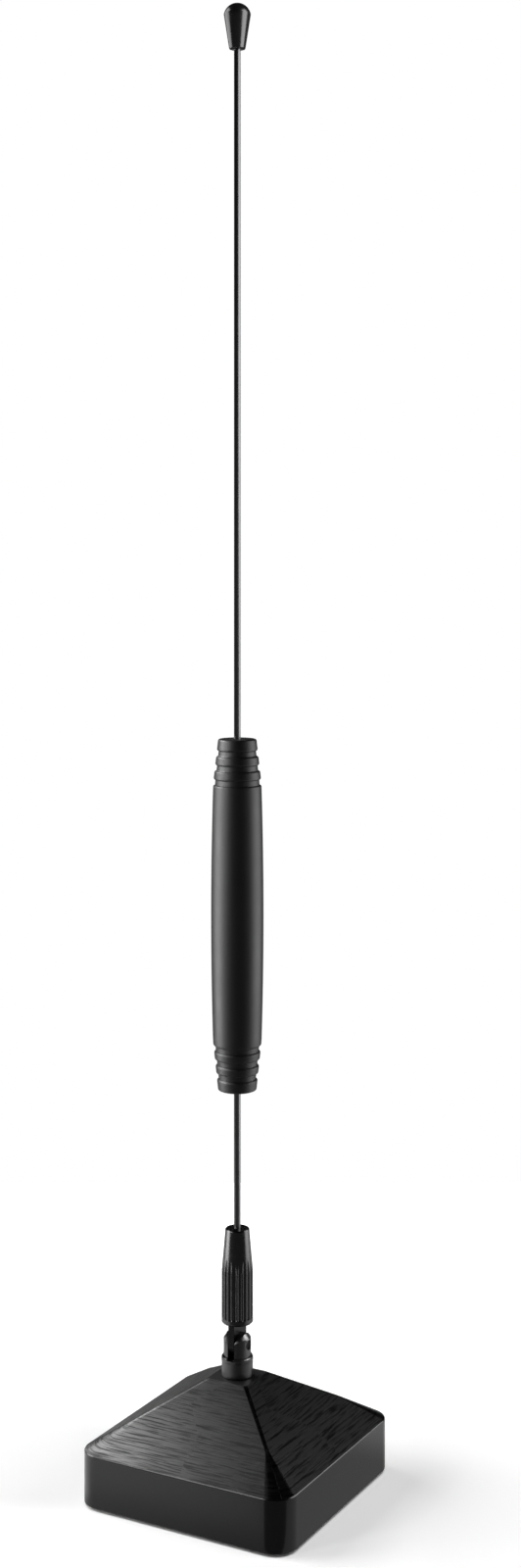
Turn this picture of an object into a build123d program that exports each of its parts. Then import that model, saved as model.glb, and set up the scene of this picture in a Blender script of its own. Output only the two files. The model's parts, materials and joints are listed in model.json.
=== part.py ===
"""FM indoor antenna: a weighted pyramid base, a tilt knuckle and a whip with a loading coil.

Millimetres, +Z up, front towards -Y, origin at the centre of the foot pad's underside.
"""
import math
import os

from build123d import *

# Base
side = 70.0
corner_r = 7.0
ridge_r = 1.0
ridge_ease = 12.0
wall_h = 15.3
rim_edge = 0.3
pyramid_h = 17.3
top_half = 6.6
wall = 2.0
roof_t = 4.0
foot_t = 0.8
foot_inset = 2.6
plate_t = 2.0
plate_gap = 0.2
tray_h = 1.6
boss_r = 3.2
boss_inset = 7.0
screw_r = 1.2
screw_head_r = 2.5
screw_l = 9.0
ballast_t = 9.0
ballast_gap = 0.8

# Cable inlet in the rear wall
inlet_h = 8.2
inlet_r = 1.6
grommet_r = 3.0
grommet_lip = 1.2

# Tilt knuckle
post_r = 4.68
post_edge = 0.3
post_h = 5.5
lip_t = 0.8
lip_round = 0.67
ear_r = 4.08
pin_h = 4.1
ear_top_h = 3.3
ear_cone_h = 1.7
ear_cone = 1.5
ear_cone_w = 1.5
slot_w = 2.2
tongue_t = 2.0
tongue_half = 3.8
slot_gap = 0.25
pin_r = 1.0
pin_gap = 0.05
rivet_head_r = 1.4
rivet_sunk = 0.5
rivet_head_t = 0.6
spigot_r = 3.0
spigot_flat = 2.4
nut_af = 10.0
nut_t = 4.0
washer_r = 6.0
washer_t = 0.8
tag_t = 0.5
stud_r = 2.5
stud_l = 12.0

# Fluted sleeve
blade_h = 6.3
sleeve_l = 28.2
sleeve_r = 4.69
sleeve_top_r = 3.6
taper_h = 15.7
flutes = 20
flute_r = 0.65
flute_depth = 0.35
flute_h = 1.7
flute_turn = 10.8

# Whip
rod_r = 1.0
rod_grip = 13.0
lower_rod_shown = 41.5
barrel_l = 105.4
barrel_r = 7.89
ring_pitch = 4.1
end_wall = 5.0
ferrule_r = 2.5
ferrule_l = 18.0
ferrule_grip = 8.0
ferrule_bore = 12.0
former_r = 4.0
winding_t = 0.7
flange_t = 2.0
upper_rod_shown = 207.1
tip_base_r = 2.43
tip_r = 4.07
tip_cone_h = 10.5
tip_dome_h = 3.4
tip_grip = 8.0
fit = 0.02

half = side / 2
rim_z = foot_t + wall_h
top_z = rim_z + pyramid_h
inlet_z = foot_t + inlet_h
lip_z = top_z + post_h
lip_r = ear_r + lip_round
pin_z = lip_z + pin_h
ear_top_z = pin_z + ear_top_h
ear_cone_z = pin_z + ear_cone_h
sleeve_z = pin_z + blade_h
sleeve_top_z = sleeve_z + sleeve_l
barrel_z = sleeve_top_z + lower_rod_shown
barrel_top_z = barrel_z + barrel_l
tip_z = barrel_top_z + upper_rod_shown
tip_wide_z = tip_z + tip_cone_h
tip_top_z = tip_wide_z + tip_dome_h
slope = pyramid_h / (half - top_half)
shell_drop = wall * math.hypot(1, slope)
in_half = half - wall
in_rim_z = rim_z + slope * wall - shell_drop
in_top_z = top_z - roof_t
in_top_half = top_half + (roof_t - shell_drop) / slope
plate_z = foot_t
plate_top = foot_t + plate_t
boss_x = in_half - boss_inset
ballast_half = boss_x - boss_r - ballast_gap
ballast_top = plate_top + ballast_t
slot_z = pin_z - tongue_half - slot_gap
spigot_end = in_top_z - washer_t - tag_t - nut_t - 1.5
rivet_seat = ear_r - rivet_sunk - rivet_head_t
flute_axis_r = sleeve_r - flute_depth + flute_r
rod_z = sleeve_top_z - rod_grip
ferrule_z = barrel_z + end_wall
former_z = ferrule_z + ferrule_l - ferrule_grip
upper_ferrule_z = barrel_top_z - end_wall - ferrule_l
former_top = upper_ferrule_z + ferrule_grip
winding_r = former_r + winding_t
body_z = barrel_z + 3.49 * ring_pitch
dome_r = (tip_r**2 + tip_dome_h**2) / (2 * tip_dome_h)
dome_start = math.degrees(math.asin((dome_r - tip_dome_h) / dome_r))
body_top_z = barrel_top_z - 3.61 * ring_pitch

UP = (Align.CENTER, Align.CENTER, Align.MIN)
DOWN = (Align.CENTER, Align.CENTER, Align.MAX)
os.makedirs("parts", exist_ok=True)

# Base cover: walls, an eased rim and four sloping faces whose corners tighten towards the top
with BuildPart() as cavity:
    with BuildSketch(Plane.XY):
        RectangleRounded(2 * in_half, 2 * in_half, corner_r - wall)
    extrude(amount=in_rim_z)
    with BuildSketch(Plane.XY.offset(in_rim_z)):
        Rectangle(2 * in_half, 2 * in_half)
    with BuildSketch(Plane.XY.offset(in_top_z)):
        Rectangle(2 * in_top_half, 2 * in_top_half)
    loft(ruled=True)
    with BuildSketch(Plane.XY):
        RectangleRounded(2 * in_half, 2 * in_half, corner_r - wall)
    extrude(amount=in_top_z, mode=Mode.INTERSECT)
    with BuildSketch(Plane.XY.offset(plate_top)):
        with GridLocations(2 * boss_x, 2 * boss_x, 2, 2):
            Circle(boss_r)
    extrude(amount=top_z, mode=Mode.SUBTRACT)

with BuildPart() as base_cover:
    with BuildSketch(Plane.XY.offset(foot_t)):
        RectangleRounded(side, side, corner_r)
    extrude(amount=rim_z - rim_edge - foot_t)
    with BuildSketch(Plane.XY.offset(rim_z - rim_edge)):
        RectangleRounded(side, side, corner_r)
    with BuildSketch(Plane.XY.offset(rim_z + slope * rim_edge)):
        RectangleRounded(side - 2 * rim_edge, side - 2 * rim_edge, corner_r - rim_edge)
    with BuildSketch(Plane.XY.offset(rim_z + slope * ridge_ease)):
        RectangleRounded(side - 2 * ridge_ease, side - 2 * ridge_ease, ridge_r)
    with BuildSketch(Plane.XY.offset(top_z)):
        RectangleRounded(2 * top_half, 2 * top_half, ridge_r)
    loft(ruled=True)
    add(cavity.part, mode=Mode.SUBTRACT)
    with BuildSketch(Plane.XY.offset(plate_top)):
        with GridLocations(2 * boss_x, 2 * boss_x, 2, 2):
            Circle(screw_r)
    extrude(amount=screw_l, mode=Mode.SUBTRACT)
    with BuildSketch(Plane.XY.offset(in_top_z)):
        Circle(spigot_r + 0.1)
        with Locations((0, spigot_flat + 0.1)):
            Rectangle(4 * spigot_r, 2 * spigot_r, align=(Align.CENTER, Align.MIN), mode=Mode.SUBTRACT)
    extrude(amount=roof_t, mode=Mode.SUBTRACT)
    with BuildSketch(Plane.XZ.offset(-half)):
        with Locations((0, inlet_z)):
            Circle(grommet_r)
    extrude(amount=wall, mode=Mode.SUBTRACT)
base_cover.part.label = "base_cover"
export_step(base_cover.part, "parts/base_cover.step")

# Base plate with a tray that keeps the weight in place
with BuildPart() as base_plate:
    with BuildSketch(Plane.XY.offset(plate_z)):
        RectangleRounded(2 * (in_half - plate_gap), 2 * (in_half - plate_gap), corner_r - wall - plate_gap)
    extrude(amount=plate_t)
    with BuildSketch(Plane.XY.offset(plate_top)):
        Rectangle(2 * ballast_half + 1.2, 2 * ballast_half + 1.2)
        Rectangle(2 * ballast_half, 2 * ballast_half, mode=Mode.SUBTRACT)
    extrude(amount=tray_h)
    with Locations(Plane.XY.offset(plate_z)):
        with GridLocations(2 * boss_x, 2 * boss_x, 2, 2):
            Cylinder(screw_r, plate_t, align=UP, mode=Mode.SUBTRACT)
            Cone(screw_head_r, screw_r, screw_head_r - screw_r, align=UP, mode=Mode.SUBTRACT)
base_plate.part.label = "base_plate"
export_step(base_plate.part, "parts/base_plate.step")

with BuildPart() as base_screws:
    with Locations(Plane.XY.offset(plate_z)):
        with GridLocations(2 * boss_x, 2 * boss_x, 2, 2):
            Cylinder(screw_r, plate_t + screw_l - 1, align=UP)
            Cone(screw_head_r, screw_r, screw_head_r - screw_r, align=UP)
            Box(0.6, 2.4, 0.6, align=UP, mode=Mode.SUBTRACT)
            Box(2.4, 0.6, 0.6, align=UP, mode=Mode.SUBTRACT)
base_screws.part.label = "base_screws"
export_step(base_screws.part, "parts/base_screws.step")

with BuildPart() as foot_pad:
    with BuildSketch():
        RectangleRounded(side - 2 * foot_inset, side - 2 * foot_inset, corner_r - foot_inset)
    extrude(amount=foot_t)
foot_pad.part.label = "foot_pad"
export_step(foot_pad.part, "parts/foot_pad.step")

# Steel weight, also the counterpoise, with a tapped hole for the earth screw
earth_y = ballast_half - 7.0
with BuildPart() as ballast_weight:
    with BuildSketch(Plane.XY.offset(plate_top)):
        Rectangle(2 * ballast_half, 2 * ballast_half)
    extrude(amount=ballast_t)
    chamfer(ballast_weight.faces().sort_by(Axis.Z)[-1].edges(), 0.6)
    with Locations((0, earth_y, ballast_top)):
        Cylinder(1.5, 6, align=DOWN, mode=Mode.SUBTRACT)
ballast_weight.part.label = "ballast_weight"
export_step(ballast_weight.part, "parts/ballast_weight.step")

with BuildPart() as earth_tag:
    with BuildSketch(Plane.XY.offset(ballast_top)):
        with Locations((0, earth_y)):
            Circle(3.2)
        with Locations((-6, earth_y)):
            SlotOverall(14, 3.2)
        with Locations((0, earth_y)):
            Circle(1.6, mode=Mode.SUBTRACT)
        with Locations((-11, earth_y)):
            Circle(0.7, mode=Mode.SUBTRACT)
    extrude(amount=tag_t)
earth_tag.part.label = "earth_tag"
export_step(earth_tag.part, "parts/earth_tag.step")

with BuildPart() as earth_screw:
    with Locations((0, earth_y, ballast_top + tag_t)):
        Cylinder(1.5, tag_t + 5, align=DOWN)
        Cylinder(2.8, 1.8, align=UP)
    fillet(earth_screw.faces().sort_by(Axis.Z)[-1].edges(), 0.6)
    with Locations((0, earth_y, ballast_top + tag_t + 1.8)):
        Box(0.7, 3, 0.9, align=DOWN, mode=Mode.SUBTRACT)
        Box(3, 0.7, 0.9, align=DOWN, mode=Mode.SUBTRACT)
earth_screw.part.label = "earth_screw"
export_step(earth_screw.part, "parts/earth_screw.step")

with BuildPart() as cable_grommet:
    with BuildSketch(Plane.XZ.offset(-half)):
        with Locations((0, inlet_z)):
            Circle(grommet_r)
    extrude(amount=wall)
    with BuildSketch(Plane.XZ.offset(-in_half)):
        with Locations((0, inlet_z)):
            Circle(grommet_r + grommet_lip)
    extrude(amount=1.4)
    with BuildSketch(Plane.XZ.offset(-half)):
        with Locations((0, inlet_z)):
            Circle(inlet_r)
    extrude(amount=wall + 1.4, mode=Mode.SUBTRACT)
cable_grommet.part.label = "cable_grommet"
export_step(cable_grommet.part, "parts/cable_grommet.step")

rivet_ends = [Location((rivet_seat, 0, pin_z), (0, 90, 0)), Location((-rivet_seat, 0, pin_z), (0, -90, 0))]

# Knuckle fork: a turned post slotted through along Y, with round-topped ears and a keyed spigot
with BuildPart() as knuckle_fork:
    with BuildSketch(Plane.XZ):
        with BuildLine():
            Polyline(
                (lip_r, lip_z), (lip_r, lip_z - lip_t), (post_r, lip_z - 1.25 * lip_t), (post_r, top_z + post_edge),
                (post_r - post_edge, top_z), (0, top_z), (0, ear_cone_z + ear_cone_w * ear_cone),
                (ear_r - ear_cone_w, ear_cone_z + ear_cone_w * ear_cone), (ear_r, ear_cone_z), (ear_r, lip_z + lip_round),
            )
            ThreePointArc(
                (ear_r, lip_z + lip_round),
                (ear_r + lip_round * math.sqrt(0.5), lip_z + lip_round * math.sqrt(0.5)),
                (lip_r, lip_z),
            )
        make_face()
    revolve(axis=Axis.Z)
    with BuildSketch(Plane.YZ):
        with Locations((0, ear_top_z - ear_r)):
            Circle(ear_r)
            Rectangle(4 * lip_r, ear_top_z, align=(Align.CENTER, Align.MAX))
    extrude(amount=2 * lip_r, both=True, mode=Mode.INTERSECT)
    with BuildSketch(Plane.XY.offset(slot_z)):
        Rectangle(slot_w, 4 * lip_r)
    extrude(amount=ear_top_z, mode=Mode.SUBTRACT)
    with BuildSketch(Plane.YZ):
        with Locations((0, pin_z)):
            Circle(pin_r)
    extrude(amount=2 * ear_r, both=True, mode=Mode.SUBTRACT)
    with Locations(*rivet_ends):
        Cylinder(rivet_head_r + pin_gap, ear_r, align=UP, mode=Mode.SUBTRACT)
    with BuildSketch(Plane.XY.offset(spigot_end)):
        Circle(spigot_r)
        with Locations((0, spigot_flat)):
            Rectangle(4 * spigot_r, 2 * spigot_r, align=(Align.CENTER, Align.MIN), mode=Mode.SUBTRACT)
    extrude(amount=top_z - spigot_end)
knuckle_fork.part.label = "knuckle_fork"
export_step(knuckle_fork.part, "parts/knuckle_fork.step")

with BuildPart() as pivot_rivet:
    with Locations(Location((-rivet_seat, 0, pin_z), (0, 90, 0))):
        Cylinder(pin_r, 2 * rivet_seat, align=UP)
    with Locations(*rivet_ends):
        Cylinder(rivet_head_r, rivet_head_t, align=UP)
pivot_rivet.part.label = "pivot_rivet"
export_step(pivot_rivet.part, "parts/pivot_rivet.step")

with BuildPart() as spigot_washer:
    with BuildSketch(Plane.XY.offset(in_top_z - washer_t)):
        Circle(washer_r)
        Circle(spigot_r + 0.1, mode=Mode.SUBTRACT)
    extrude(amount=washer_t)
spigot_washer.part.label = "spigot_washer"
export_step(spigot_washer.part, "parts/spigot_washer.step")

with BuildPart() as solder_tag:
    with BuildSketch(Plane.XY.offset(in_top_z - washer_t - tag_t)):
        Circle(washer_r - 0.6)
        with Locations((0, in_top_half / 2)):
            SlotOverall(in_top_half, 4, rotation=90)
        Circle(spigot_r + 0.1, mode=Mode.SUBTRACT)
        with Locations((0, in_top_half - 2)):
            Circle(0.8, mode=Mode.SUBTRACT)
    extrude(amount=tag_t)
solder_tag.part.label = "solder_tag"
export_step(solder_tag.part, "parts/solder_tag.step")

with BuildPart() as spigot_nut:
    with BuildSketch(Plane.XY.offset(in_top_z - washer_t - tag_t - nut_t)):
        RegularPolygon(nut_af / 2, 6, major_radius=False)
        Circle(spigot_r + fit, mode=Mode.SUBTRACT)
    extrude(amount=nut_t)
spigot_nut.part.label = "spigot_nut"
export_step(spigot_nut.part, "parts/spigot_nut.step")

# Knuckle tongue: a flat blade in the slot, round about the pin, with a stud into the sleeve
with BuildPart() as knuckle_tongue:
    with BuildSketch(Plane.YZ):
        with Locations((0, pin_z)):
            Circle(tongue_half)
            Rectangle(2 * tongue_half, sleeve_z - pin_z, align=(Align.CENTER, Align.MIN))
            Circle(pin_r + pin_gap, mode=Mode.SUBTRACT)
    extrude(amount=tongue_t / 2, both=True)
    with Locations((0, 0, sleeve_z)):
        Cylinder(stud_r, stud_l, align=UP)
    chamfer(knuckle_tongue.faces().sort_by(Axis.Z)[-1].edges(), 0.5)
knuckle_tongue.part.label = "knuckle_tongue"
export_step(knuckle_tongue.part, "parts/knuckle_tongue.step")

# Sleeve: straight, then tapered, with flutes that run out on the taper
with BuildPart() as whip_sleeve:
    with BuildSketch(Plane.XZ):
        with BuildLine():
            Polyline(
                (0, sleeve_z), (sleeve_r - 0.3, sleeve_z), (sleeve_r, sleeve_z + 0.3),
                (sleeve_r, sleeve_z + taper_h), (sleeve_top_r, sleeve_top_z - 0.5),
                (sleeve_top_r - 0.5, sleeve_top_z), (0, sleeve_top_z), (0, sleeve_z),
            )
        make_face()
    revolve(axis=Axis.Z)
    with BuildSketch(Plane.XY.offset(sleeve_z + flute_h)):
        with PolarLocations(flute_axis_r, flutes, start_angle=flute_turn + 180 / flutes):
            Circle(flute_r)
    extrude(amount=sleeve_l - flute_h, mode=Mode.SUBTRACT)
    with Locations((0, 0, sleeve_z)):
        Cylinder(stud_r + fit, stud_l + 0.5, align=UP, mode=Mode.SUBTRACT)
    with Locations((0, 0, rod_z)):
        Cylinder(rod_r + fit, rod_grip, align=UP, mode=Mode.SUBTRACT)
whip_sleeve.part.label = "whip_sleeve"
export_step(whip_sleeve.part, "parts/whip_sleeve.step")

with BuildPart() as lower_rod:
    with Locations((0, 0, rod_z)):
        Cylinder(rod_r, ferrule_z + ferrule_bore - rod_z, align=UP)
lower_rod.part.label = "lower_rod"
export_step(lower_rod.part, "parts/lower_rod.step")

# Loading coil: bobbin, winding and the two brass ferrules that hold the rods
with BuildPart() as lower_ferrule:
    with Locations((0, 0, ferrule_z)):
        Cylinder(ferrule_r, ferrule_l, align=UP)
        Cylinder(rod_r + fit, ferrule_bore, align=UP, mode=Mode.SUBTRACT)
lower_ferrule.part.label = "lower_ferrule"
export_step(lower_ferrule.part, "parts/lower_ferrule.step")

with BuildPart() as upper_ferrule:
    with Locations((0, 0, upper_ferrule_z + ferrule_l)):
        Cylinder(ferrule_r, ferrule_l, align=DOWN)
        Cylinder(rod_r + fit, ferrule_bore, align=DOWN, mode=Mode.SUBTRACT)
upper_ferrule.part.label = "upper_ferrule"
export_step(upper_ferrule.part, "parts/upper_ferrule.step")

with BuildPart() as coil_former:
    with Locations((0, 0, former_z)):
        Cylinder(winding_r, former_top - former_z, align=UP)
    with BuildSketch(Plane.XY.offset(former_z + flange_t)):
        Circle(winding_r)
        Circle(former_r, mode=Mode.SUBTRACT)
    extrude(amount=former_top - former_z - 2 * flange_t, mode=Mode.SUBTRACT)
    with Locations((0, 0, former_z)):
        Cylinder(ferrule_r + fit, ferrule_grip, align=UP, mode=Mode.SUBTRACT)
    with Locations((0, 0, former_top)):
        Cylinder(ferrule_r + fit, ferrule_grip, align=DOWN, mode=Mode.SUBTRACT)
coil_former.part.label = "coil_former"
export_step(coil_former.part, "parts/coil_former.step")

with BuildPart() as loading_coil:
    with BuildSketch(Plane.XY.offset(former_z + flange_t)):
        Circle(winding_r)
        Circle(former_r, mode=Mode.SUBTRACT)
    extrude(amount=former_top - former_z - 2 * flange_t)
loading_coil.part.label = "loading_coil"
export_step(loading_coil.part, "parts/loading_coil.step")

# Barrel: moulded over the coil, three rings at each end and a slightly bellied body
upper_rings = [
    (0.729, 0.0, 0.9), (0.791, 0.88, 0.4), (0.733, 0.98, 0), (0.733, 1.17, 0), (0.824, 1.37, 0.5),
    (0.847, 1.88, 0.4), (0.786, 2.0, 0), (0.786, 2.22, 0), (0.881, 2.41, 0.5), (0.902, 2.9, 0.4),
    (0.828, 3.05, 0), (0.828, 3.29, 0),
]
lower_rings = [
    (0.819, 3.2, 0), (0.819, 2.93, 0), (0.88, 2.76, 0.4), (0.859, 2.24, 0.4), (0.773, 2.12, 0),
    (0.773, 1.9, 0), (0.826, 1.73, 0.4), (0.806, 1.24, 0.4), (0.716, 1.12, 0), (0.716, 0.9, 0),
    (0.76, 0.73, 0.4), (0.729, 0.0, 0.9),
]
shoulder_top = (0.928 * barrel_r, body_top_z)
shoulder_low = (0.92 * barrel_r, body_z)
with BuildPart() as barrel_cover:
    with BuildSketch(Plane.XZ):
        with BuildLine():
            FilletPolyline(
                (0, barrel_top_z),
                *[(k * barrel_r, barrel_top_z - d * ring_pitch) for k, d, _ in upper_rings],
                shoulder_top,
                radius=[r for _, _, r in upper_rings],
            )
            ThreePointArc(shoulder_top, (barrel_r, (body_z + body_top_z) / 2), shoulder_low)
            FilletPolyline(
                shoulder_low,
                *[(k * barrel_r, barrel_z + d * ring_pitch) for k, d, _ in lower_rings],
                (0, barrel_z),
                radius=[r for _, _, r in lower_rings],
            )
            Line((0, barrel_z), (0, barrel_top_z))
        make_face()
    revolve(axis=Axis.Z)
    with BuildSketch(Plane.XZ):
        with BuildLine():
            Polyline(
                (0, barrel_z), (rod_r + fit, barrel_z), (rod_r + fit, ferrule_z),
                (ferrule_r + fit, ferrule_z),
                (ferrule_r + fit, former_z), (winding_r + fit, former_z), (winding_r + fit, former_top),
                (ferrule_r + fit, former_top), (ferrule_r + fit, upper_ferrule_z + ferrule_l),
                (rod_r + fit, upper_ferrule_z + ferrule_l), (rod_r + fit, barrel_top_z), (0, barrel_top_z),
                (0, barrel_z),
            )
        make_face()
    revolve(axis=Axis.Z, mode=Mode.SUBTRACT)
barrel_cover.part.label = "barrel_cover"
export_step(barrel_cover.part, "parts/barrel_cover.step")

with BuildPart() as upper_rod:
    with Locations((0, 0, upper_ferrule_z + ferrule_l - ferrule_bore)):
        Cylinder(rod_r, tip_z + tip_grip - upper_ferrule_z - ferrule_l + ferrule_bore, align=UP)
upper_rod.part.label = "upper_rod"
export_step(upper_rod.part, "parts/upper_rod.step")

with BuildPart() as tip_cap:
    with BuildSketch(Plane.XZ):
        with BuildLine():
            Polyline((0, tip_top_z), (0, tip_z), (tip_base_r - 0.2, tip_z), (tip_base_r, tip_z + 0.2),
                     (tip_r, tip_wide_z))
            CenterArc((0, tip_top_z - dome_r), dome_r, dome_start, 90 - dome_start)
        make_face()
    revolve(axis=Axis.Z)
    with Locations((0, 0, tip_z)):
        Cylinder(rod_r + fit, tip_grip, align=UP, mode=Mode.SUBTRACT)
tip_cap.part.label = "tip_cap"
export_step(tip_cap.part, "parts/tip_cap.step")
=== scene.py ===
"""Indoor whip antenna: the looks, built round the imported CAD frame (metres, +Z up, front is -Y)."""
import json
import math

import bmesh
import bpy
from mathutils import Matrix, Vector


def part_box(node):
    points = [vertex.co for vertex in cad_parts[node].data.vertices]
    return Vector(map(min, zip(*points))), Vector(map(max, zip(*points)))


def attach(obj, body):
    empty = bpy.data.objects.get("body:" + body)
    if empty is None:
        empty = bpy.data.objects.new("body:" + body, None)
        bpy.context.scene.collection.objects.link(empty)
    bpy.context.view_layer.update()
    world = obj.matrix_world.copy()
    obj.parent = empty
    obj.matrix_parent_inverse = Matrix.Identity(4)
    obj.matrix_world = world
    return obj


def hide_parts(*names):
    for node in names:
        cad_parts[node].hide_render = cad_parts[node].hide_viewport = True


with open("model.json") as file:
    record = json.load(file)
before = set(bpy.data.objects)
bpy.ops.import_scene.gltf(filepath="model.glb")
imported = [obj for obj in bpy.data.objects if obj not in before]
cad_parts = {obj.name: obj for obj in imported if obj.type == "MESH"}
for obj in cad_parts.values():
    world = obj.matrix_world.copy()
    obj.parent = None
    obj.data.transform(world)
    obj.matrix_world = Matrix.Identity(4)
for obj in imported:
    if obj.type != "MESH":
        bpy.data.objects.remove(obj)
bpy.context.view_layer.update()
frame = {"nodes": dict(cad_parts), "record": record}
cad_nodes = frame["nodes"]

MM = 0.001
FULL_TURN = 2 * math.pi
scene = bpy.context.scene


# ---------------------------------------------------------------- node helpers

# the Mix node's colour sockets, which share their names with its other sockets
COLOUR_A, COLOUR_B, COLOUR_OUT = 6, 7, 2


def feed(tree, value, socket):
    """Link a socket, or set a plain value."""
    if isinstance(value, bpy.types.NodeSocket):
        tree.links.new(value, socket)
    else:
        socket.default_value = value


def put(tree, kind, inputs=None, **settings):
    """Add a node with its settings and inputs."""
    node = tree.nodes.new(kind)
    for name, value in settings.items():
        setattr(node, name, value)
    for name, value in (inputs or {}).items():
        feed(tree, value, node.inputs[name])
    return node


def calc(tree, operation, a, b=0.0, c=0.0):
    """One Math node; gives its output."""
    node = tree.nodes.new("ShaderNodeMath")
    node.operation = operation
    for socket, value in zip(node.inputs, (a, b, c)):
        feed(tree, value, socket)
    return node.outputs[0]


def mult(tree, *masks):
    """Multiply masks or values."""
    result = masks[0]
    for mask in masks[1:]:
        result = calc(tree, "MULTIPLY", result, mask)
    return result


def without(tree, mask):
    """The rest of a mask."""
    return calc(tree, "SUBTRACT", 1.0, mask)


def blend_range(tree, value, low, high, to_low=0.0, to_high=1.0, smooth=True):
    """Map Range from low..high to to_low..to_high."""
    node = put(tree, "ShaderNodeMapRange", {
        "Value": value, "From Min": low, "From Max": high, "To Min": to_low, "To Max": to_high})
    if smooth:
        node.interpolation_type = "SMOOTHSTEP"
    return node.outputs["Result"]


def between(tree, mask, at_none, at_full):
    """Go straight from one value to another as a mask goes from 0 to 1."""
    return blend_range(tree, mask, 0.0, 1.0, at_none, at_full, smooth=False)


def mix(tree, factor, a, b):
    """Mix two values by a factor."""
    node = put(tree, "ShaderNodeMix", {"Factor": factor, "A": a, "B": b}, data_type="FLOAT")
    return node.outputs[0]


def two_tone(tree, factor, dark, light):
    """Mix two colours by a factor; a colour is a socket or three numbers."""
    node = put(tree, "ShaderNodeMix", {"Factor": factor}, data_type="RGBA")
    for colour, socket in ((dark, node.inputs[COLOUR_A]), (light, node.inputs[COLOUR_B])):
        feed(tree, (*colour, 1.0) if isinstance(colour, tuple) else colour, socket)
    return node.outputs[COLOUR_OUT]


def grey(level):
    """A neutral colour."""
    return (level, level, level)


def split(tree, vector):
    """The X, Y and Z of a vector."""
    return put(tree, "ShaderNodeSeparateXYZ", {"Vector": vector}).outputs


def dot(tree, vector, direction):
    """How far a vector reaches along a direction."""
    node = put(tree, "ShaderNodeVectorMath", {0: vector, 1: direction}, operation="DOT_PRODUCT")
    return node.outputs["Value"]


def noise(tree, place, scale, detail, roughness):
    """One noise pattern; gives its value."""
    node = put(tree, "ShaderNodeTexNoise", {
        "Vector": place, "Scale": scale, "Detail": detail, "Roughness": roughness})
    return node.outputs[0]


def start_group(name, sockets_in, sockets_out):
    """A shader node group with named inputs and outputs."""
    group = bpy.data.node_groups.new(name, "ShaderNodeTree")
    for label, (kind, value) in sockets_in.items():
        socket = group.interface.new_socket(name=label, in_out="INPUT", socket_type=kind)
        if value is not None:
            socket.default_value = value
    for label in sockets_out:
        group.interface.new_socket(name=label, in_out="OUTPUT", socket_type="NodeSocketFloat")
    given = group.nodes.new("NodeGroupInput").outputs
    result = group.nodes.new("NodeGroupOutput").inputs
    return group, given, result


# ---------------------------------------------------------------- shared surface effects

MOTTLE_PER_METRE = 55.0
MOTTLE_SPAN = (0.3, 0.7)      # the part of a noise pattern's range that is used
DASH_SPAN = (0.44, 0.64)
RUB_SPAN = (0.42, 0.72)
FINE_STRETCH = 0.45           # the finer hairlines against the dashes: along, across and in depth
FINE_CLOSENESS = 2.3
FINE_DEPTH = 0.5


def make_moulded_grain():
    """Fine spark-eroded mould grain, and the slow mottle of handled plastic."""
    group, given, result = start_group(
        "moulded_grain",
        {"Place": ("NodeSocketVector", None), "Grain per Metre": ("NodeSocketFloat", 2500.0)},
        ("Height", "Mottle"))
    grain = noise(group, given["Place"], given["Grain per Metre"], detail=3.0, roughness=0.6)
    slow = noise(group, given["Place"], MOTTLE_PER_METRE, detail=4.0, roughness=0.55)
    feed(group, grain, result["Height"])
    feed(group, blend_range(group, slow, *MOTTLE_SPAN), result["Mottle"])
    return group


def make_brushed_lines():
    """Hairlines along one direction: short dark dashes over finer lines."""
    group, given, result = start_group(
        "brushed_lines",
        {"Along": ("NodeSocketFloat", 0.0), "Across": ("NodeSocketFloat", 0.0),
         "Side": ("NodeSocketFloat", 0.0),
         "Line Length": ("NodeSocketFloat", 0.006), "Line Width": ("NodeSocketFloat", 0.0003)},
        ("Height", "Dash"))

    def streaks(along, across):
        place = put(group, "ShaderNodeCombineXYZ", {"X": along, "Y": across, "Z": given["Side"]})
        return noise(group, place.outputs[0], 1.0, detail=2.0, roughness=0.6)

    u = calc(group, "DIVIDE", given["Along"], given["Line Length"])
    v = calc(group, "DIVIDE", given["Across"], given["Line Width"])
    dash = blend_range(group, streaks(u, v), *DASH_SPAN)
    lines = streaks(mult(group, u, FINE_STRETCH), mult(group, v, FINE_CLOSENESS))
    feed(group, calc(group, "SUBTRACT", mult(group, lines, FINE_DEPTH), dash), result["Height"])
    feed(group, dash, result["Dash"])
    return group


def make_handling_rub():
    """Faint rubbing in patches, from handling."""
    group, given, result = start_group(
        "handling_rub",
        {"Place": ("NodeSocketVector", None), "Patch per Metre": ("NodeSocketFloat", 120.0)},
        ("Rub",))
    patch = noise(group, given["Place"], given["Patch per Metre"], detail=5.0, roughness=0.65)
    feed(group, blend_range(group, patch, *RUB_SPAN), result["Rub"])
    return group


moulded_grain = make_moulded_grain()
brushed_lines = make_brushed_lines()
handling_rub = make_handling_rub()


# ---------------------------------------------------------------- finishes

PLASTIC_PATCHES = 140.0       # rubbed patches per metre
METAL_PATCHES = 260.0
PLASTIC_RUB_SHARE = 0.5       # how much of the roughness comes from rubbing, the rest from mottle
RING_SHARE = 0.4              # how much of it comes from the turned rings, the rest from rubbing
RING_LENGTH = 0.01
# the knuckle's slot, where the metal takes painted shade
SLOT_HALF = 1.05              # mm, between the blade's sides and the ears' inner faces
SLOT_FLOOR = 39.0


def start_finish(name):
    """A material, its tree, its Principled shader and its coordinates."""
    material = bpy.data.materials.new(name)
    material.use_nodes = True
    tree = material.node_tree
    return material, tree, tree.nodes["Principled BSDF"], put(tree, "ShaderNodeTexCoord").outputs


def use_group(tree, group, inputs):
    """Place a shared effect with its own values; gives its outputs."""
    return put(tree, "ShaderNodeGroup", inputs, node_tree=group).outputs


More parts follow.
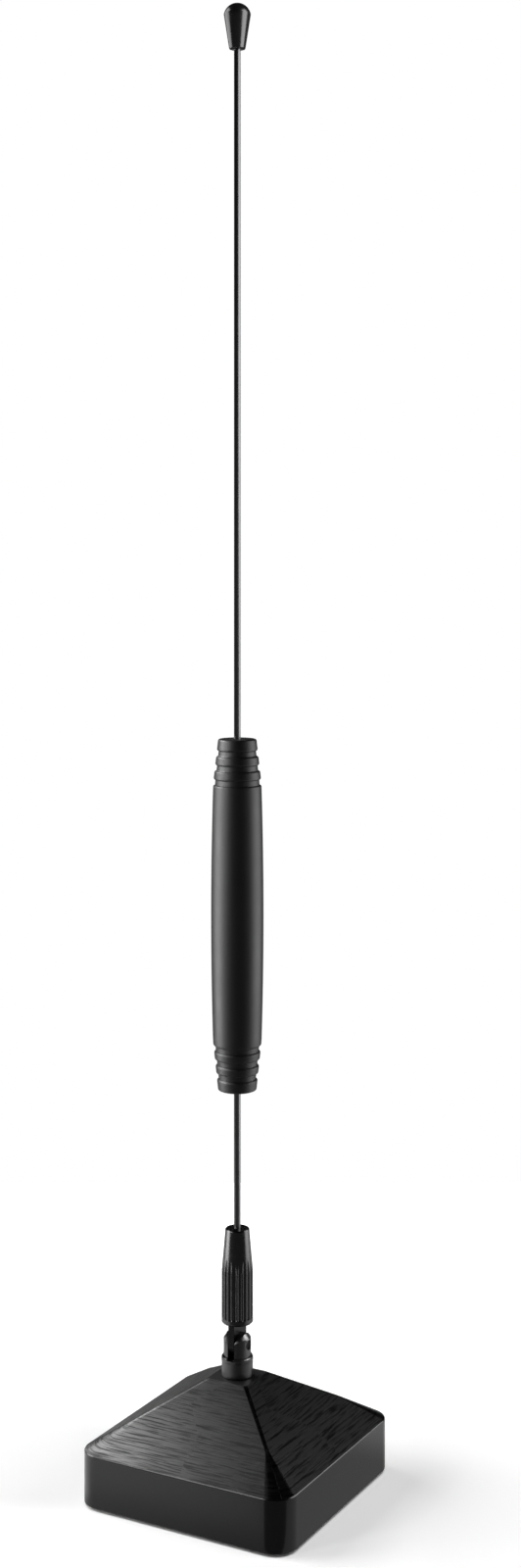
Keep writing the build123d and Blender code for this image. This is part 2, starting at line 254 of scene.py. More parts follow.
def bump(tree, shader, height, depth):
    """Raise the surface by a height pattern."""
    node = put(tree, "ShaderNodeBump", {"Height": height, "Distance": depth, "Strength": 1.0})
    tree.links.new(node.outputs[0], shader.inputs["Normal"])


def moulded_finish(name, dark, light, gloss, rough, grain=2500.0, depth=0.00001, specular=0.5):
    """Moulded plastic or rubber with grain, mottle and handled patches; roughness gloss..rough."""
    material, tree, shader, coords = start_finish(name)
    place = coords["Object"]
    skin = use_group(tree, moulded_grain, {"Place": place, "Grain per Metre": grain})
    rub = use_group(tree, handling_rub, {"Place": place, "Patch per Metre": PLASTIC_PATCHES})
    feed(tree, two_tone(tree, skin["Mottle"], dark, light), shader.inputs["Base Color"])
    wear = calc(tree, "MULTIPLY_ADD", rub["Rub"], PLASTIC_RUB_SHARE,
                mult(tree, skin["Mottle"], 1.0 - PLASTIC_RUB_SHARE))
    feed(tree, between(tree, wear, rough, gloss), shader.inputs["Roughness"])
    shader.inputs["Specular IOR Level"].default_value = specular
    bump(tree, shader, skin["Height"], depth)
    return material


def turned_finish(name, dark, light, gloss, rough, metallic, specular=0.5, ior=1.5,
                  line=0.00022, depth=0.0000002, painted_slot_shade=0.0):
    """Turned or drawn metal: fine rings round the axis, and painted shade in the knuckle's slot."""
    material, tree, shader, coords = start_finish(name)
    place = coords["Object"]
    spot = split(tree, place)
    rings = use_group(tree, brushed_lines, {
        "Along": 0.0, "Across": spot["Z"], "Side": 0.0,
        "Line Length": RING_LENGTH, "Line Width": line})
    rub = use_group(tree, handling_rub, {"Place": place, "Patch per Metre": METAL_PATCHES})
    feed(tree, two_tone(tree, rub["Rub"], dark, light), shader.inputs["Base Color"])
    spread = calc(tree, "MULTIPLY_ADD", rings["Dash"], RING_SHARE,
                  mult(tree, rub["Rub"], 1.0 - RING_SHARE))
    feed(tree, between(tree, spread, gloss, rough), shader.inputs["Roughness"])
    shader.inputs["Metallic"].default_value = metallic
    shader.inputs["Specular IOR Level"].default_value = specular
    shader.inputs["IOR"].default_value = ior
    # painted shade: a black metallic share darkens the metal between the ears' inner faces
    if painted_slot_shade:
        aside = calc(tree, "ABSOLUTE", spot["X"])
        slot_shade_mask = mult(tree, calc(tree, "LESS_THAN", aside, SLOT_HALF * MM),
                       calc(tree, "GREATER_THAN", spot["Z"], SLOT_FLOOR * MM))
        feed(tree, mult(tree, slot_shade_mask, painted_slot_shade), shader.inputs["Metallic"])
    bump(tree, shader, rings["Height"], depth)
    return material


SLOPE_FACING = (0.55, 0.75)           # how far a normal points up: slopes, flat top
TOP_FACING = (0.95, 0.99)
RIGHT_RIDGE_TURN = (0.05, 0.16)       # how far a normal turns off its face on a ridge
LEFT_RIDGE_TURN = (0.0, 0.06)
LOW_RIDGE = (0.0205, 0.0270)          # heights in metres
HIGH_RIDGE = (0.0258, 0.0300)
UPPER_SLOPE = (0.020, 0.033)
FACE_SHIFTS = (3.7, 7.3, 13.1)        # so that each face has brushing of its own
HAIR_LENGTH = 0.0110
SIDE_HAIR_WIDTH = 0.00033
FRONT_HAIR_NARROWER = 0.00010
BASE_GRAIN = 2600.0
BASE_GRAIN_DEPTH = 0.12               # against the brushing's
BASE_BUMP = 0.000016
WALL_GREYS = (0.0012, 0.0020)
DASH_GREY = 0.0004
WALL_ROUGHNESS = (0.19, 0.24)
HAIR_ROUGHNESS = (0.28, 0.40)         # between the dashes and in them
LEFT_RIDGE_ROUGHNESS = 0.50
RIGHT_RIDGE_ROUGHNESS = 0.19
TOP_ROUGHNESS = 0.45
FRONT_DASH_GLOSS = 0.3
UPPER_GLOSS = 0.74
HIGH_RIDGE_GLOSS = 0.3
BASE_SPECULAR = 0.62
BRUSHED_STRETCH = 0.75                # how far the brushing draws out a reflection


def base_finish():
    """Base cover: satin grained walls, and sloping faces brushed along their own rim edge."""
    material, tree, shader, coords = start_finish("base_plastic_black")
    place = coords["Object"]
    spot = split(tree, place)
    facing = split(tree, coords["Normal"])
    flat_top = blend_range(tree, facing["Z"], *TOP_FACING)
    sloping = calc(tree, "SUBTRACT", blend_range(tree, facing["Z"], *SLOPE_FACING), flat_top)
    to_side = calc(tree, "ABSOLUTE", facing["X"])
    to_front = calc(tree, "ABSOLUTE", facing["Y"])
    front_back = calc(tree, "GREATER_THAN", to_front, to_side)
    turned = calc(tree, "MINIMUM", to_side, to_front)
    on_right = calc(tree, "GREATER_THAN", facing["X"], 0.0)
    right_ridge = mult(tree, blend_range(tree, turned, *RIGHT_RIDGE_TURN), on_right)
    left_ridge = mult(tree, blend_range(tree, turned, *LEFT_RIDGE_TURN), without(tree, on_right))
    high_ridge = mult(tree, left_ridge, blend_range(tree, spot["Z"], *HIGH_RIDGE))
    low_ridge = mult(tree, left_ridge, blend_range(tree, spot["Z"], *LOW_RIDGE, 1.0, 0.0))

    to_right, to_back, to_ends = FACE_SHIFTS
    side = calc(tree, "MULTIPLY_ADD", calc(tree, "SIGN", facing["X"]), to_right,
                calc(tree, "MULTIPLY_ADD", calc(tree, "SIGN", facing["Y"]), to_back,
                     mult(tree, front_back, to_ends)))
    hair = use_group(tree, brushed_lines, {
        "Along": mix(tree, front_back, spot["Y"], spot["X"]), "Across": spot["Z"], "Side": side,
        "Line Length": HAIR_LENGTH,
        "Line Width": calc(tree, "MULTIPLY_ADD", front_back, -FRONT_HAIR_NARROWER,
                           SIDE_HAIR_WIDTH)})
    skin = use_group(tree, moulded_grain, {"Place": place, "Grain per Metre": BASE_GRAIN})
    dash = mult(tree, hair["Dash"], sloping)

    wall_tone = two_tone(tree, skin["Mottle"], *(grey(level) for level in WALL_GREYS))
    feed(tree, two_tone(tree, dash, wall_tone, grey(DASH_GREY)), shader.inputs["Base Color"])

    # the brushing blurs low down on the left ridges; the right-hand ridges are rubbed smooth
    slope_rough = between(tree, hair["Dash"], *HAIR_ROUGHNESS)
    slope_rough = mix(tree, low_ridge, slope_rough, LEFT_RIDGE_ROUGHNESS)
    slope_rough = mix(tree, right_ridge, slope_rough, RIGHT_RIDGE_ROUGHNESS)
    rough = between(tree, skin["Mottle"], *WALL_ROUGHNESS)
    rough = mix(tree, sloping, rough, slope_rough)
    rough = mix(tree, flat_top, rough, TOP_ROUGHNESS)
    feed(tree, rough, shader.inputs["Roughness"])

    # a black metallic share dulls the dashes, the upper slopes and the left ridges' upper ends
    gloss = mult(tree, between(tree, dash, 1.0, mult(tree, front_back, FRONT_DASH_GLOSS)),
                 blend_range(tree, spot["Z"], *UPPER_SLOPE, 1.0, UPPER_GLOSS),
                 between(tree, high_ridge, 1.0, HIGH_RIDGE_GLOSS))
    feed(tree, without(tree, gloss), shader.inputs["Metallic"])
    shader.inputs["Specular IOR Level"].default_value = BASE_SPECULAR
    one_way = mult(tree, sloping, without(tree, right_ridge), BRUSHED_STRETCH)
    feed(tree, one_way, shader.inputs["Anisotropic"])
    across = put(tree, "ShaderNodeCombineXYZ", {"X": without(tree, front_back), "Y": front_back})
    across = put(tree, "ShaderNodeVectorTransform", {"Vector": across.outputs[0]},
                 vector_type="VECTOR", convert_from="OBJECT", convert_to="WORLD")
    feed(tree, across.outputs[0], shader.inputs["Tangent"])

    height = calc(tree, "ADD", mult(tree, hair["Height"], sloping),
                  mult(tree, skin["Height"], BASE_GRAIN_DEPTH))
    bump(tree, shader, height, BASE_BUMP)
    return material


finishes = {
    "base_plastic": base_finish(),
    "plate_plastic": moulded_finish(
        "plate_plastic_black", grey(0.010), grey(0.016), 0.42, 0.55, grain=1800.0),
    "screw_steel": turned_finish(
        "screw_steel_zinc", (0.42, 0.42, 0.43), (0.58, 0.58, 0.57), 0.25, 0.42, metallic=1.0),
    "pad_rubber": moulded_finish(
        "pad_rubber_black", grey(0.012), (0.022, 0.022, 0.021), 0.65, 0.85,
        grain=1400.0, depth=0.00004, specular=0.35),
    "weight_steel": turned_finish(
        "weight_steel_dark", grey(0.22), (0.34, 0.33, 0.32), 0.35, 0.55, metallic=1.0),
    "tag_brass": turned_finish(
        "tag_brass_bare", (0.62, 0.46, 0.19), (0.74, 0.58, 0.28), 0.25, 0.40, metallic=1.0),
    "grommet_rubber": moulded_finish(
        "grommet_rubber_black", grey(0.010), grey(0.018), 0.5, 0.7, grain=3000.0, specular=0.4),
    "knuckle_metal": turned_finish(
        "knuckle_metal_black", grey(0.008), grey(0.016), 0.28, 0.36,
        metallic=0.0, specular=0.9, ior=1.6, painted_slot_shade=0.85),
    "rivet_steel": turned_finish(
        "rivet_steel_black", grey(0.0015), grey(0.003), 0.55, 0.70, metallic=0.0, specular=0.15),
    "sleeve_metal": turned_finish(
        "sleeve_metal_black", grey(0.0015), grey(0.0035), 0.22, 0.30, metallic=0.0, specular=0.9),
    "rod_steel": turned_finish(
        "rod_steel_black", (0.185, 0.185, 0.19), (0.205, 0.205, 0.21), 0.31, 0.34,
        metallic=1.0, depth=0.00000002),
    "ferrule_brass": turned_finish(
        "ferrule_brass_bare", (0.60, 0.44, 0.18), (0.72, 0.55, 0.26), 0.25, 0.40, metallic=1.0),
    "former_plastic": moulded_finish(
        "former_plastic_natural", (0.55, 0.53, 0.48), (0.66, 0.64, 0.58), 0.45, 0.6),
    "copper_wire": turned_finish(
        "copper_wire_enamelled", (0.46, 0.17, 0.07), (0.58, 0.24, 0.10), 0.22, 0.36, metallic=1.0),
    "barrel_plastic": moulded_finish(
        "barrel_plastic_satin", (0.0020, 0.0020, 0.0021), (0.0032, 0.0032, 0.0033), 0.42, 0.50,
        grain=3200.0, depth=0.000006, specular=0.6),
    "tip_plastic": moulded_finish(
        "tip_plastic_gloss", grey(0.005), grey(0.008), 0.18, 0.26,
        grain=2200.0, depth=0.000003, specular=0.7),
}


# ---------------------------------------------------------------- mesh helpers

WELD_DISTANCE = 2e-6      # metres
FLAT_DEGREES = 1.0        # faces that meet at less are one face
EASE_DEGREES = 40         # edges that turn by more are eased
EASE_SEGMENTS = 3


def apply_modifiers(mesh, set_up):
    """Run modifiers on a mesh through a loose object and give a plain mesh in its place."""
    name = mesh.name
    carrier = bpy.data.objects.new("carrier", mesh)
    scene.collection.objects.link(carrier)
    set_up(carrier)
    graph = bpy.context.evaluated_depsgraph_get()
    made = bpy.data.meshes.new_from_object(carrier.evaluated_get(graph))
    bpy.data.objects.remove(carrier)
    bpy.data.meshes.remove(mesh)
    made.name = name
    return made


def finish_mesh(mesh, sharp_degrees):
    """Smooth shading with creases at real edges; a large flat face keeps its own normal."""
    mesh.polygons.foreach_set("use_smooth", [True] * len(mesh.polygons))
    mesh.set_sharp_from_angle(angle=math.radians(sharp_degrees))

    def even_normals(carrier):
        even = carrier.modifiers.new("even_normals", "WEIGHTED_NORMAL")
        even.keep_sharp = True
    return apply_modifiers(mesh, even_normals)


def mesh_piece(name, mesh, slot, body, *nodes):
    """Put a finished mesh in the scene as a piece that stands for CAD nodes."""
    mesh.materials.clear()
    mesh.materials.append(finishes[slot])
    piece = bpy.data.objects.new(name, mesh)
    scene.collection.objects.link(piece)
    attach(piece, body)
    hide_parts(*nodes)
    return piece


def take_mesh(bm, name):
    """A plain mesh from a bmesh, which is let go."""
    mesh = bpy.data.meshes.new(name)
    bm.to_mesh(mesh)
    bm.free()
    return mesh


def smooth_copy(node, piece_name, slot, body, sharp_degrees=28.0, bevel=0.0):
    """A merged, smoothly shaded copy of a CAD node's mesh, with its outer edges eased."""
    bm = bmesh.new()
    bm.from_mesh(cad_nodes[node].data)
    bmesh.ops.remove_doubles(bm, verts=bm.verts, dist=WELD_DISTANCE)
    bmesh.ops.dissolve_limit(bm, angle_limit=math.radians(FLAT_DEGREES),
                             verts=bm.verts, edges=bm.edges)
    mesh = take_mesh(bm, piece_name)
    for layer in ("custom_normal", "sharp_edge", "sharp_face"):
        if layer in mesh.attributes:
            mesh.attributes.remove(mesh.attributes[layer])

    def ease_edges(carrier):
        ease = carrier.modifiers.new("eased_edges", "BEVEL")
        ease.width = bevel
        ease.segments = EASE_SEGMENTS
        ease.limit_method = "ANGLE"
        ease.angle_limit = math.radians(EASE_DEGREES)
        ease.use_clamp_overlap = True

    if bevel:
        mesh = apply_modifiers(mesh, ease_edges)
    mesh = finish_mesh(mesh, sharp_degrees)
    return mesh_piece(piece_name, mesh, slot, body, node)


def bridge_rows(bm, rows):
    """Join closed rows of equal point counts, lowest first."""
    count = len(rows[0])
    for below, above in zip(rows, rows[1:]):
        for i in range(count):
            j = (i + 1) % count
            bm.faces.new((below[i], below[j], above[j], above[i]))


def skin_rings(rings):
    """A closed skin over rings of equal point counts, lowest first, with both ends capped."""
    bm = bmesh.new()
    rows = [[bm.verts.new(point) for point in ring] for ring in rings]
    bridge_rows(bm, rows)
    bm.faces.new(list(reversed(rows[0])))
    bm.faces.new(rows[-1])
    return bm


def turned_mesh(name, outline, segments):
    """Turn an outline of (radius, height) in mm round the mast axis; its ends close on the axis."""
    bm = bmesh.new()
    foot = bm.verts.new((0.0, 0.0, outline[0][1] * MM))
    head = bm.verts.new((0.0, 0.0, outline[-1][1] * MM))
    angles = [FULL_TURN * i / segments for i in range(segments)]
    rows = []
    for radius, height in outline:
        rows.append([bm.verts.new((radius * MM * math.cos(angle), radius * MM * math.sin(angle),
                                   height * MM)) for angle in angles])
    bridge_rows(bm, rows)
    for i in range(segments):
        j = (i + 1) % segments
        bm.faces.new((foot, rows[0][j], rows[0][i]))
        bm.faces.new((head, rows[-1][i], rows[-1][j]))
    return take_mesh(bm, name)


# ---------------------------------------------------------------- base shell

BASE_HALF = 35.0          # mm, as in the CAD source
BASE_CORNER = 7.0
WALL_FOOT = 0.8
WALL_THICKNESS = 2.0
PLATE_SEAT = 3.2          # height of the closed underside
RIM_HEIGHT = 16.1
RIDGE_RADIUS = 1.0
RIDGE_EASE = 12.0         # plan distance over which the corner turns into a ridge
TOP_HALF = 6.6
TOP_HEIGHT = 33.4
RIM_ROUND = 0.6
TOP_ROUND = 0.3
FOOT_ROUND = 0.3
CORNER_STEPS = 14
FOOT_STEPS = 3
RIM_STEPS = 5
RIDGE_STEPS = 8
TOP_STEPS = 4
INLET_HEIGHT = 9.0
INLET_SEAT = 3.0
INLET_REACH = 4.0         # how far the inlet's cutter goes to each side of the wall's face
INLET_SEGMENTS = 64


def rounded_square(half, corner, height):
    """Points of a rounded square, anticlockwise from above, in metres."""
    ring = []
    for quarter, (sx, sy) in enumerate(((1, 1), (-1, 1), (-1, -1), (1, -1))):
        for step in range(CORNER_STEPS + 1):
            angle = math.pi / 2 * (quarter + step / CORNER_STEPS)
            ring.append(Vector((sx * (half - corner) + corner * math.cos(angle),
                                sy * (half - corner) + corner * math.sin(angle), height)) * MM)
    return ring


def base_sections():
    """(half side, corner radius, height) up the shell, with rounded foot, rim and top edges."""
    slope = math.atan2(TOP_HEIGHT - RIM_HEIGHT, BASE_HALF - TOP_HALF)
    tilt = math.tan(slope)
    sections = []
    for step in range(FOOT_STEPS + 1):
        angle = math.radians(90 / FOOT_STEPS * step)
        sections.append((BASE_HALF - FOOT_ROUND * (1 - math.sin(angle)),
                         WALL_FOOT + FOOT_ROUND * (1 - math.cos(angle))))
    turn = math.pi / 2 - slope
    setback = RIM_ROUND * math.tan(turn / 2)
    for step in range(RIM_STEPS + 1):
        angle = turn * step / RIM_STEPS
        sections.append((BASE_HALF - RIM_ROUND + RIM_ROUND * math.cos(angle),
                         RIM_HEIGHT - setback + RIM_ROUND * math.sin(angle)))
    for step in range(1, RIDGE_STEPS + 1):
        half = BASE_HALF - RIM_ROUND - (RIDGE_EASE - RIM_ROUND) * step / RIDGE_STEPS
        sections.append((half, RIM_HEIGHT + (BASE_HALF - half) * tilt))
    top_back = TOP_ROUND * math.tan(slope / 2)
    for step in range(TOP_STEPS + 1):
        angle = math.pi / 2 - slope * (1 - step / TOP_STEPS)
        sections.append((TOP_HALF - top_back + TOP_ROUND * math.cos(angle),
                         TOP_HEIGHT - TOP_ROUND + TOP_ROUND * math.sin(angle)))
    result = []
    for half, height in sections:
        inward = min(1.0, max(0.0, (BASE_HALF - half) / RIDGE_EASE))
        corner = BASE_CORNER + (RIDGE_RADIUS - BASE_CORNER) * inward
        result.append((half, corner, height))
    return result


def make_base_shell():
    """Base cover: walls, rim, ridges and flat top in one skin, with the cable inlet cut out."""
    rings = [rounded_square(*section) for section in base_sections()]
    inside = [rounded_square(BASE_HALF - WALL_THICKNESS, BASE_CORNER - WALL_THICKNESS, height)
              for height in (PLATE_SEAT, WALL_FOOT)]
    bm = skin_rings(inside + rings)
    bmesh.ops.recalc_face_normals(bm, faces=bm.faces)
    mesh = take_mesh(bm, "base_shell")

    cutter_mesh = turned_mesh(
        "inlet_cutter", [(INLET_SEAT, -INLET_REACH), (INLET_SEAT, INLET_REACH)], INLET_SEGMENTS)
    cutter = bpy.data.objects.new("inlet_cutter", cutter_mesh)
    for v in cutter_mesh.vertices:
        x, y, z = v.co
        v.co = (x, BASE_HALF * MM + z, INLET_HEIGHT * MM - y)
    scene.collection.objects.link(cutter)

    def cut_inlet(carrier):
        hole = carrier.modifiers.new("cable_inlet", "BOOLEAN")
        hole.object = cutter
        hole.operation = "DIFFERENCE"
        hole.solver = "EXACT"
    mesh = apply_modifiers(mesh, cut_inlet)
    bpy.data.objects.remove(cutter)
    mesh = finish_mesh(mesh, sharp_degrees=24.0)
    return mesh_piece("base_shell", mesh, "base_plastic", "base", "base_cover")


# ---------------------------------------------------------------- pieces that follow a rule

def start_geometry_tree(name, sizes):
    """A geometry tree with a named input for each size, and a finish."""
    tree = bpy.data.node_groups.new(name, "GeometryNodeTree")
    for label, value in sizes.items():
        kind = "NodeSocketInt" if isinstance(value, int) else "NodeSocketFloat"
        tree.interface.new_socket(name=label, in_out="INPUT", socket_type=kind)
    tree.interface.new_socket(name="Finish", in_out="INPUT", socket_type="NodeSocketMaterial")
    tree.interface.new_socket(name="Geometry", in_out="OUTPUT", socket_type="NodeSocketGeometry")
    return tree, tree.nodes.new("NodeGroupInput").outputs


def wrap_round(tree, size, radius_rule):
    """Wrap a grid round the mast axis, with radius_rule(angle, height) as its radius in mm."""
    grid = put(tree, "GeometryNodeMeshGrid", {
        "Size X": 1.0, "Size Y": 1.0, "Vertices X": size["Columns"], "Vertices Y": size["Rows"]})
    spot = split(tree, put(tree, "GeometryNodeInputPosition").outputs[0])
    angle = calc(tree, "MULTIPLY_ADD", spot["X"], FULL_TURN, math.pi)
    climb = calc(tree, "ADD", spot["Y"], 0.5)
    # the first and the last two rows close the ends
    face = calc(tree, "DIVIDE", 2.0, calc(tree, "SUBTRACT", size["Rows"], 1.0))
    lower = blend_range(tree, climb, 0.0, face, smooth=False)
    upper = blend_range(tree, without(tree, climb), 0.0, face, smooth=False)
    side = blend_range(tree, climb, face, without(tree, face), smooth=False)
    height = mult(tree, side, size["Length"])
    radius = mult(tree, radius_rule(angle, height), calc(tree, "MINIMUM", lower, upper))
    point = put(tree, "ShaderNodeCombineXYZ", {
        "X": mult(tree, radius, calc(tree, "COSINE", angle)),
        "Y": mult(tree, radius, calc(tree, "SINE", angle)),
        "Z": calc(tree, "ADD", height, size["Foot Height"])})
    in_metres = put(tree, "ShaderNodeVectorMath", {"Vector": point.outputs[0], "Scale": MM},
                    operation="SCALE")
    placed = put(tree, "GeometryNodeSetPosition", {
        "Geometry": grid.outputs["Mesh"], "Position": in_metres.outputs["Vector"]})
    closed = put(tree, "GeometryNodeMergeByDistance", {
        "Geometry": placed.outputs[0], "Distance": 1e-6})
    real = put(tree, "GeometryNodeRealizeInstances", {"Geometry": closed.outputs[0]})
    dressed = put(tree, "GeometryNodeSetMaterial", {
        "Geometry": real.outputs[0], "Material": size["Finish"]})
    put(tree, "NodeGroupOutput", {"Geometry": dressed.outputs[0]})


def run_tree(tree, name, sizes, slot):
    """Evaluate a tree with these sizes and give a plain mesh."""
    def grow(carrier):
        modifier = carrier.modifiers.new(tree.name, "NODES")
        modifier.node_group = tree
        for item in tree.interface.items_tree:
            if item.item_type == "SOCKET" and item.in_out == "INPUT":
                is_finish = item.name == "Finish"
                modifier[item.identifier] = finishes[slot] if is_finish else sizes[item.name]
    return apply_modifiers(bpy.data.meshes.new(name), grow)


SLEEVE_SIZES = {          # mm and radians
    "Columns": 321, "Rows": 150,
    "Foot Height": 49.3, "Length": 28.2,
    "Sleeve Radius": 4.69, "Neck Radius": 3.6, "Taper Start": 15.7,
    "Foot Edge": 0.35, "Foot Blend": 0.15, "Head Edge": 0.2, "Head Blend": 0.1,
    "Flutes": 20, "Flute Radius": 0.65, "Flute Depth": 0.35, "Flute Blend": 0.08,
    "Flute Start": 1.7, "Run-in": 5.0,
    "First Groove": math.radians(1.8),
}


def make_fluted_sleeve():
    """Sleeve: straight, then tapered, with round-bottomed flutes that run out on the taper."""
    tree, size = start_geometry_tree("fluted_sleeve", SLEEVE_SIZES)

    def radius_rule(angle, height):
        taper = blend_range(tree, height, size["Taper Start"], size["Length"],
                            size["Sleeve Radius"], size["Neck Radius"], smooth=False)
        foot_edge = calc(tree, "ADD", height,
                         calc(tree, "SUBTRACT", size["Sleeve Radius"], size["Foot Edge"]))
        head_edge = calc(tree, "ADD", calc(tree, "SUBTRACT", size["Length"], height),
                         calc(tree, "SUBTRACT", size["Neck Radius"], size["Head Edge"]))
        outer = calc(tree, "SMOOTH_MIN", taper, foot_edge, size["Foot Blend"])
        outer = calc(tree, "SMOOTH_MIN", outer, head_edge, size["Head Blend"])
        half_pitch = calc(tree, "DIVIDE", calc(tree, "DIVIDE", FULL_TURN, size["Flutes"]), 2.0)
        off = calc(tree, "PINGPONG", calc(tree, "SUBTRACT", angle, size["First Groove"]),
                   half_pitch)
        axis = calc(tree, "SUBTRACT",
                    calc(tree, "ADD", size["Sleeve Radius"], size["Flute Radius"]),
                    size["Flute Depth"])
        aside = mult(tree, axis, calc(tree, "SINE", off))
        room = calc(tree, "SUBTRACT", calc(tree, "POWER", size["Flute Radius"], 2.0),
                    calc(tree, "POWER", aside, 2.0))
        floor_radius = calc(tree, "SUBTRACT", mult(tree, axis, calc(tree, "COSINE", off)),
                            calc(tree, "SQRT", calc(tree, "MAXIMUM", room, 0.0)))
        run_in = calc(tree, "MAXIMUM", calc(tree, "SUBTRACT", size["Flute Start"], height), 0.0)
        flute = calc(tree, "MULTIPLY_ADD", run_in, size["Run-in"], floor_radius)
        return calc(tree, "SMOOTH_MIN", outer, flute, size["Flute Blend"])

    wrap_round(tree, size, radius_rule)
    mesh = run_tree(tree, "fluted_sleeve", SLEEVE_SIZES, "sleeve_metal")
    mesh = finish_mesh(mesh, sharp_degrees=40.0)
    return mesh_piece("fluted_sleeve", mesh, "sleeve_metal", "mast", "whip_sleeve")


BARREL_SIZES = {          # mm
    "Columns": 97, "Rows": 640,
    "Foot Height": 119.0, "Length": 105.4,
    "Belly Radius": 7.89, "Shoulder Radius": 7.30, "Belly Curve": 1.9,
    "End Radius": 5.77, "End Round": 0.5,
    "Upper Ring Pitch": 4.33, "Lower Ring Pitch": 4.19, "Rings": 3,
    "Upper Flare": 0.114, "Lower Flare": 0.105, "Flare Blend": 0.12,
    "Groove Depth": 0.56, "Groove Floor": 0.80, "Groove Width": 1.36,
}


def make_ringed_barrel():
    """Barrel: a long belly between two stacks of rings, each stack narrowing towards its end."""
    tree, size = start_geometry_tree("ringed_barrel", BARREL_SIZES)

    def quarter_round(along):
        return without(tree, calc(tree, "SQRT", without(tree, calc(tree, "POWER", along, 2.0))))

    def end_stack(distance, pitch, flare):
        cone = calc(tree, "MULTIPLY_ADD", distance, flare, size["End Radius"])
        off = calc(tree, "PINGPONG", distance, calc(tree, "DIVIDE", pitch, 2.0))
        groove = quarter_round(blend_range(
            tree, off, size["Groove Width"], size["Groove Floor"], smooth=False))
        past_end = calc(tree, "GREATER_THAN", distance, mult(tree, pitch, 0.5))
        last = mult(tree, pitch, calc(tree, "ADD", size["Rings"], 0.5))
        groove = mult(tree, groove, past_end, calc(tree, "LESS_THAN", distance, last))
        edge = blend_range(tree, distance, size["End Round"], 0.0, smooth=False)
        rounding = mult(tree, quarter_round(edge), size["End Round"])
        return calc(tree, "SUBTRACT", cone, rounding), mult(tree, groove, size["Groove Depth"])

    def radius_rule(_angle, height):
        middle = calc(tree, "DIVIDE", size["Length"], 2.0)
        aside = calc(tree, "DIVIDE", calc(tree, "SUBTRACT", height, middle), middle)
        sag = mult(tree, calc(tree, "SUBTRACT", size["Belly Radius"], size["Shoulder Radius"]),
                   size["Belly Curve"], calc(tree, "POWER", aside, 2.0))
        belly = calc(tree, "SUBTRACT", size["Belly Radius"], sag)
        from_top = calc(tree, "SUBTRACT", size["Length"], height)
        upper, upper_groove = end_stack(from_top, size["Upper Ring Pitch"], size["Upper Flare"])
        lower, lower_groove = end_stack(height, size["Lower Ring Pitch"], size["Lower Flare"])
        outer = calc(tree, "SMOOTH_MIN", belly, upper, size["Flare Blend"])
        outer = calc(tree, "SMOOTH_MIN", outer, lower, size["Flare Blend"])
        return calc(tree, "SUBTRACT", outer, calc(tree, "MAXIMUM", upper_groove, lower_groove))

    wrap_round(tree, size, radius_rule)
    mesh = run_tree(tree, "ringed_barrel", BARREL_SIZES, "barrel_plastic")
    mesh = finish_mesh(mesh, sharp_degrees=50.0)
    return mesh_piece("ringed_barrel", mesh, "barrel_plastic", "mast", "barrel_cover")


# ---------------------------------------------------------------- other pieces

ROD_RADIUS = 1.0          # mm
ROD_EDGE = 0.15
ROD_SEGMENTS = 48
ROD_SHARP = 50.0          # degrees
TIP_FOOT, TIP_SHOULDER, TIP_TOP = 431.5, 442.0, 445.4
TIP_FOOT_RADIUS, TIP_SHOULDER_RADIUS = 2.43, 4.07
TIP_FOOT_EDGE = ((-0.3, 0.0), (-0.08, 0.08), (0.03, 0.3))    # outwards and up from the foot
TIP_CONE_STEPS = 8
TIP_DOME_STEPS = 14
TIP_END_RADIUS = 0.05
TIP_SEGMENTS = 64
TIP_SHARP = 60.0
FORK_SHARP = 40.0
FORK_EASE = 0.00012       # metres
BLADE_EASE = 0.00035


def rod_outline(node):
    """A rod's outline between its CAD ends, with eased ends."""
    low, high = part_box(node)
    foot, head = low.z / MM, high.z / MM
    return [(ROD_RADIUS - ROD_EDGE, foot), (ROD_RADIUS, foot + ROD_EDGE),
            (ROD_RADIUS, head - ROD_EDGE), (ROD_RADIUS - ROD_EDGE, head)]


def tip_outline():
    """Tip: cone, rounded shoulder and domed top."""
    outline = [(TIP_FOOT_RADIUS + outwards, TIP_FOOT + up) for outwards, up in TIP_FOOT_EDGE]
    rise = TIP_TOP - TIP_SHOULDER
    dome_r = (TIP_SHOULDER_RADIUS ** 2 + rise ** 2) / (2 * rise)
    centre = TIP_TOP - dome_r
    start = math.asin((TIP_SHOULDER - centre) / dome_r)
    for step in range(1, TIP_CONE_STEPS):
        outline.append((
            TIP_FOOT_RADIUS + (TIP_SHOULDER_RADIUS - TIP_FOOT_RADIUS) * step / TIP_CONE_STEPS,
            TIP_FOOT + (TIP_SHOULDER - TIP_FOOT) * step / TIP_CONE_STEPS))
    for step in range(TIP_DOME_STEPS):
        angle = start + (math.pi / 2 - start) * step / TIP_DOME_STEPS
        outline.append((dome_r * math.cos(angle), centre + dome_r * math.sin(angle)))
    outline.append((TIP_END_RADIUS, TIP_TOP))
    return outline


def turned_piece(name, outline, segments, sharp_degrees, slot, body, node):
    """A turned piece that stands for a CAD node."""
    mesh = finish_mesh(turned_mesh(name, outline, segments), sharp_degrees)
    return mesh_piece(name, mesh, slot, body, node)


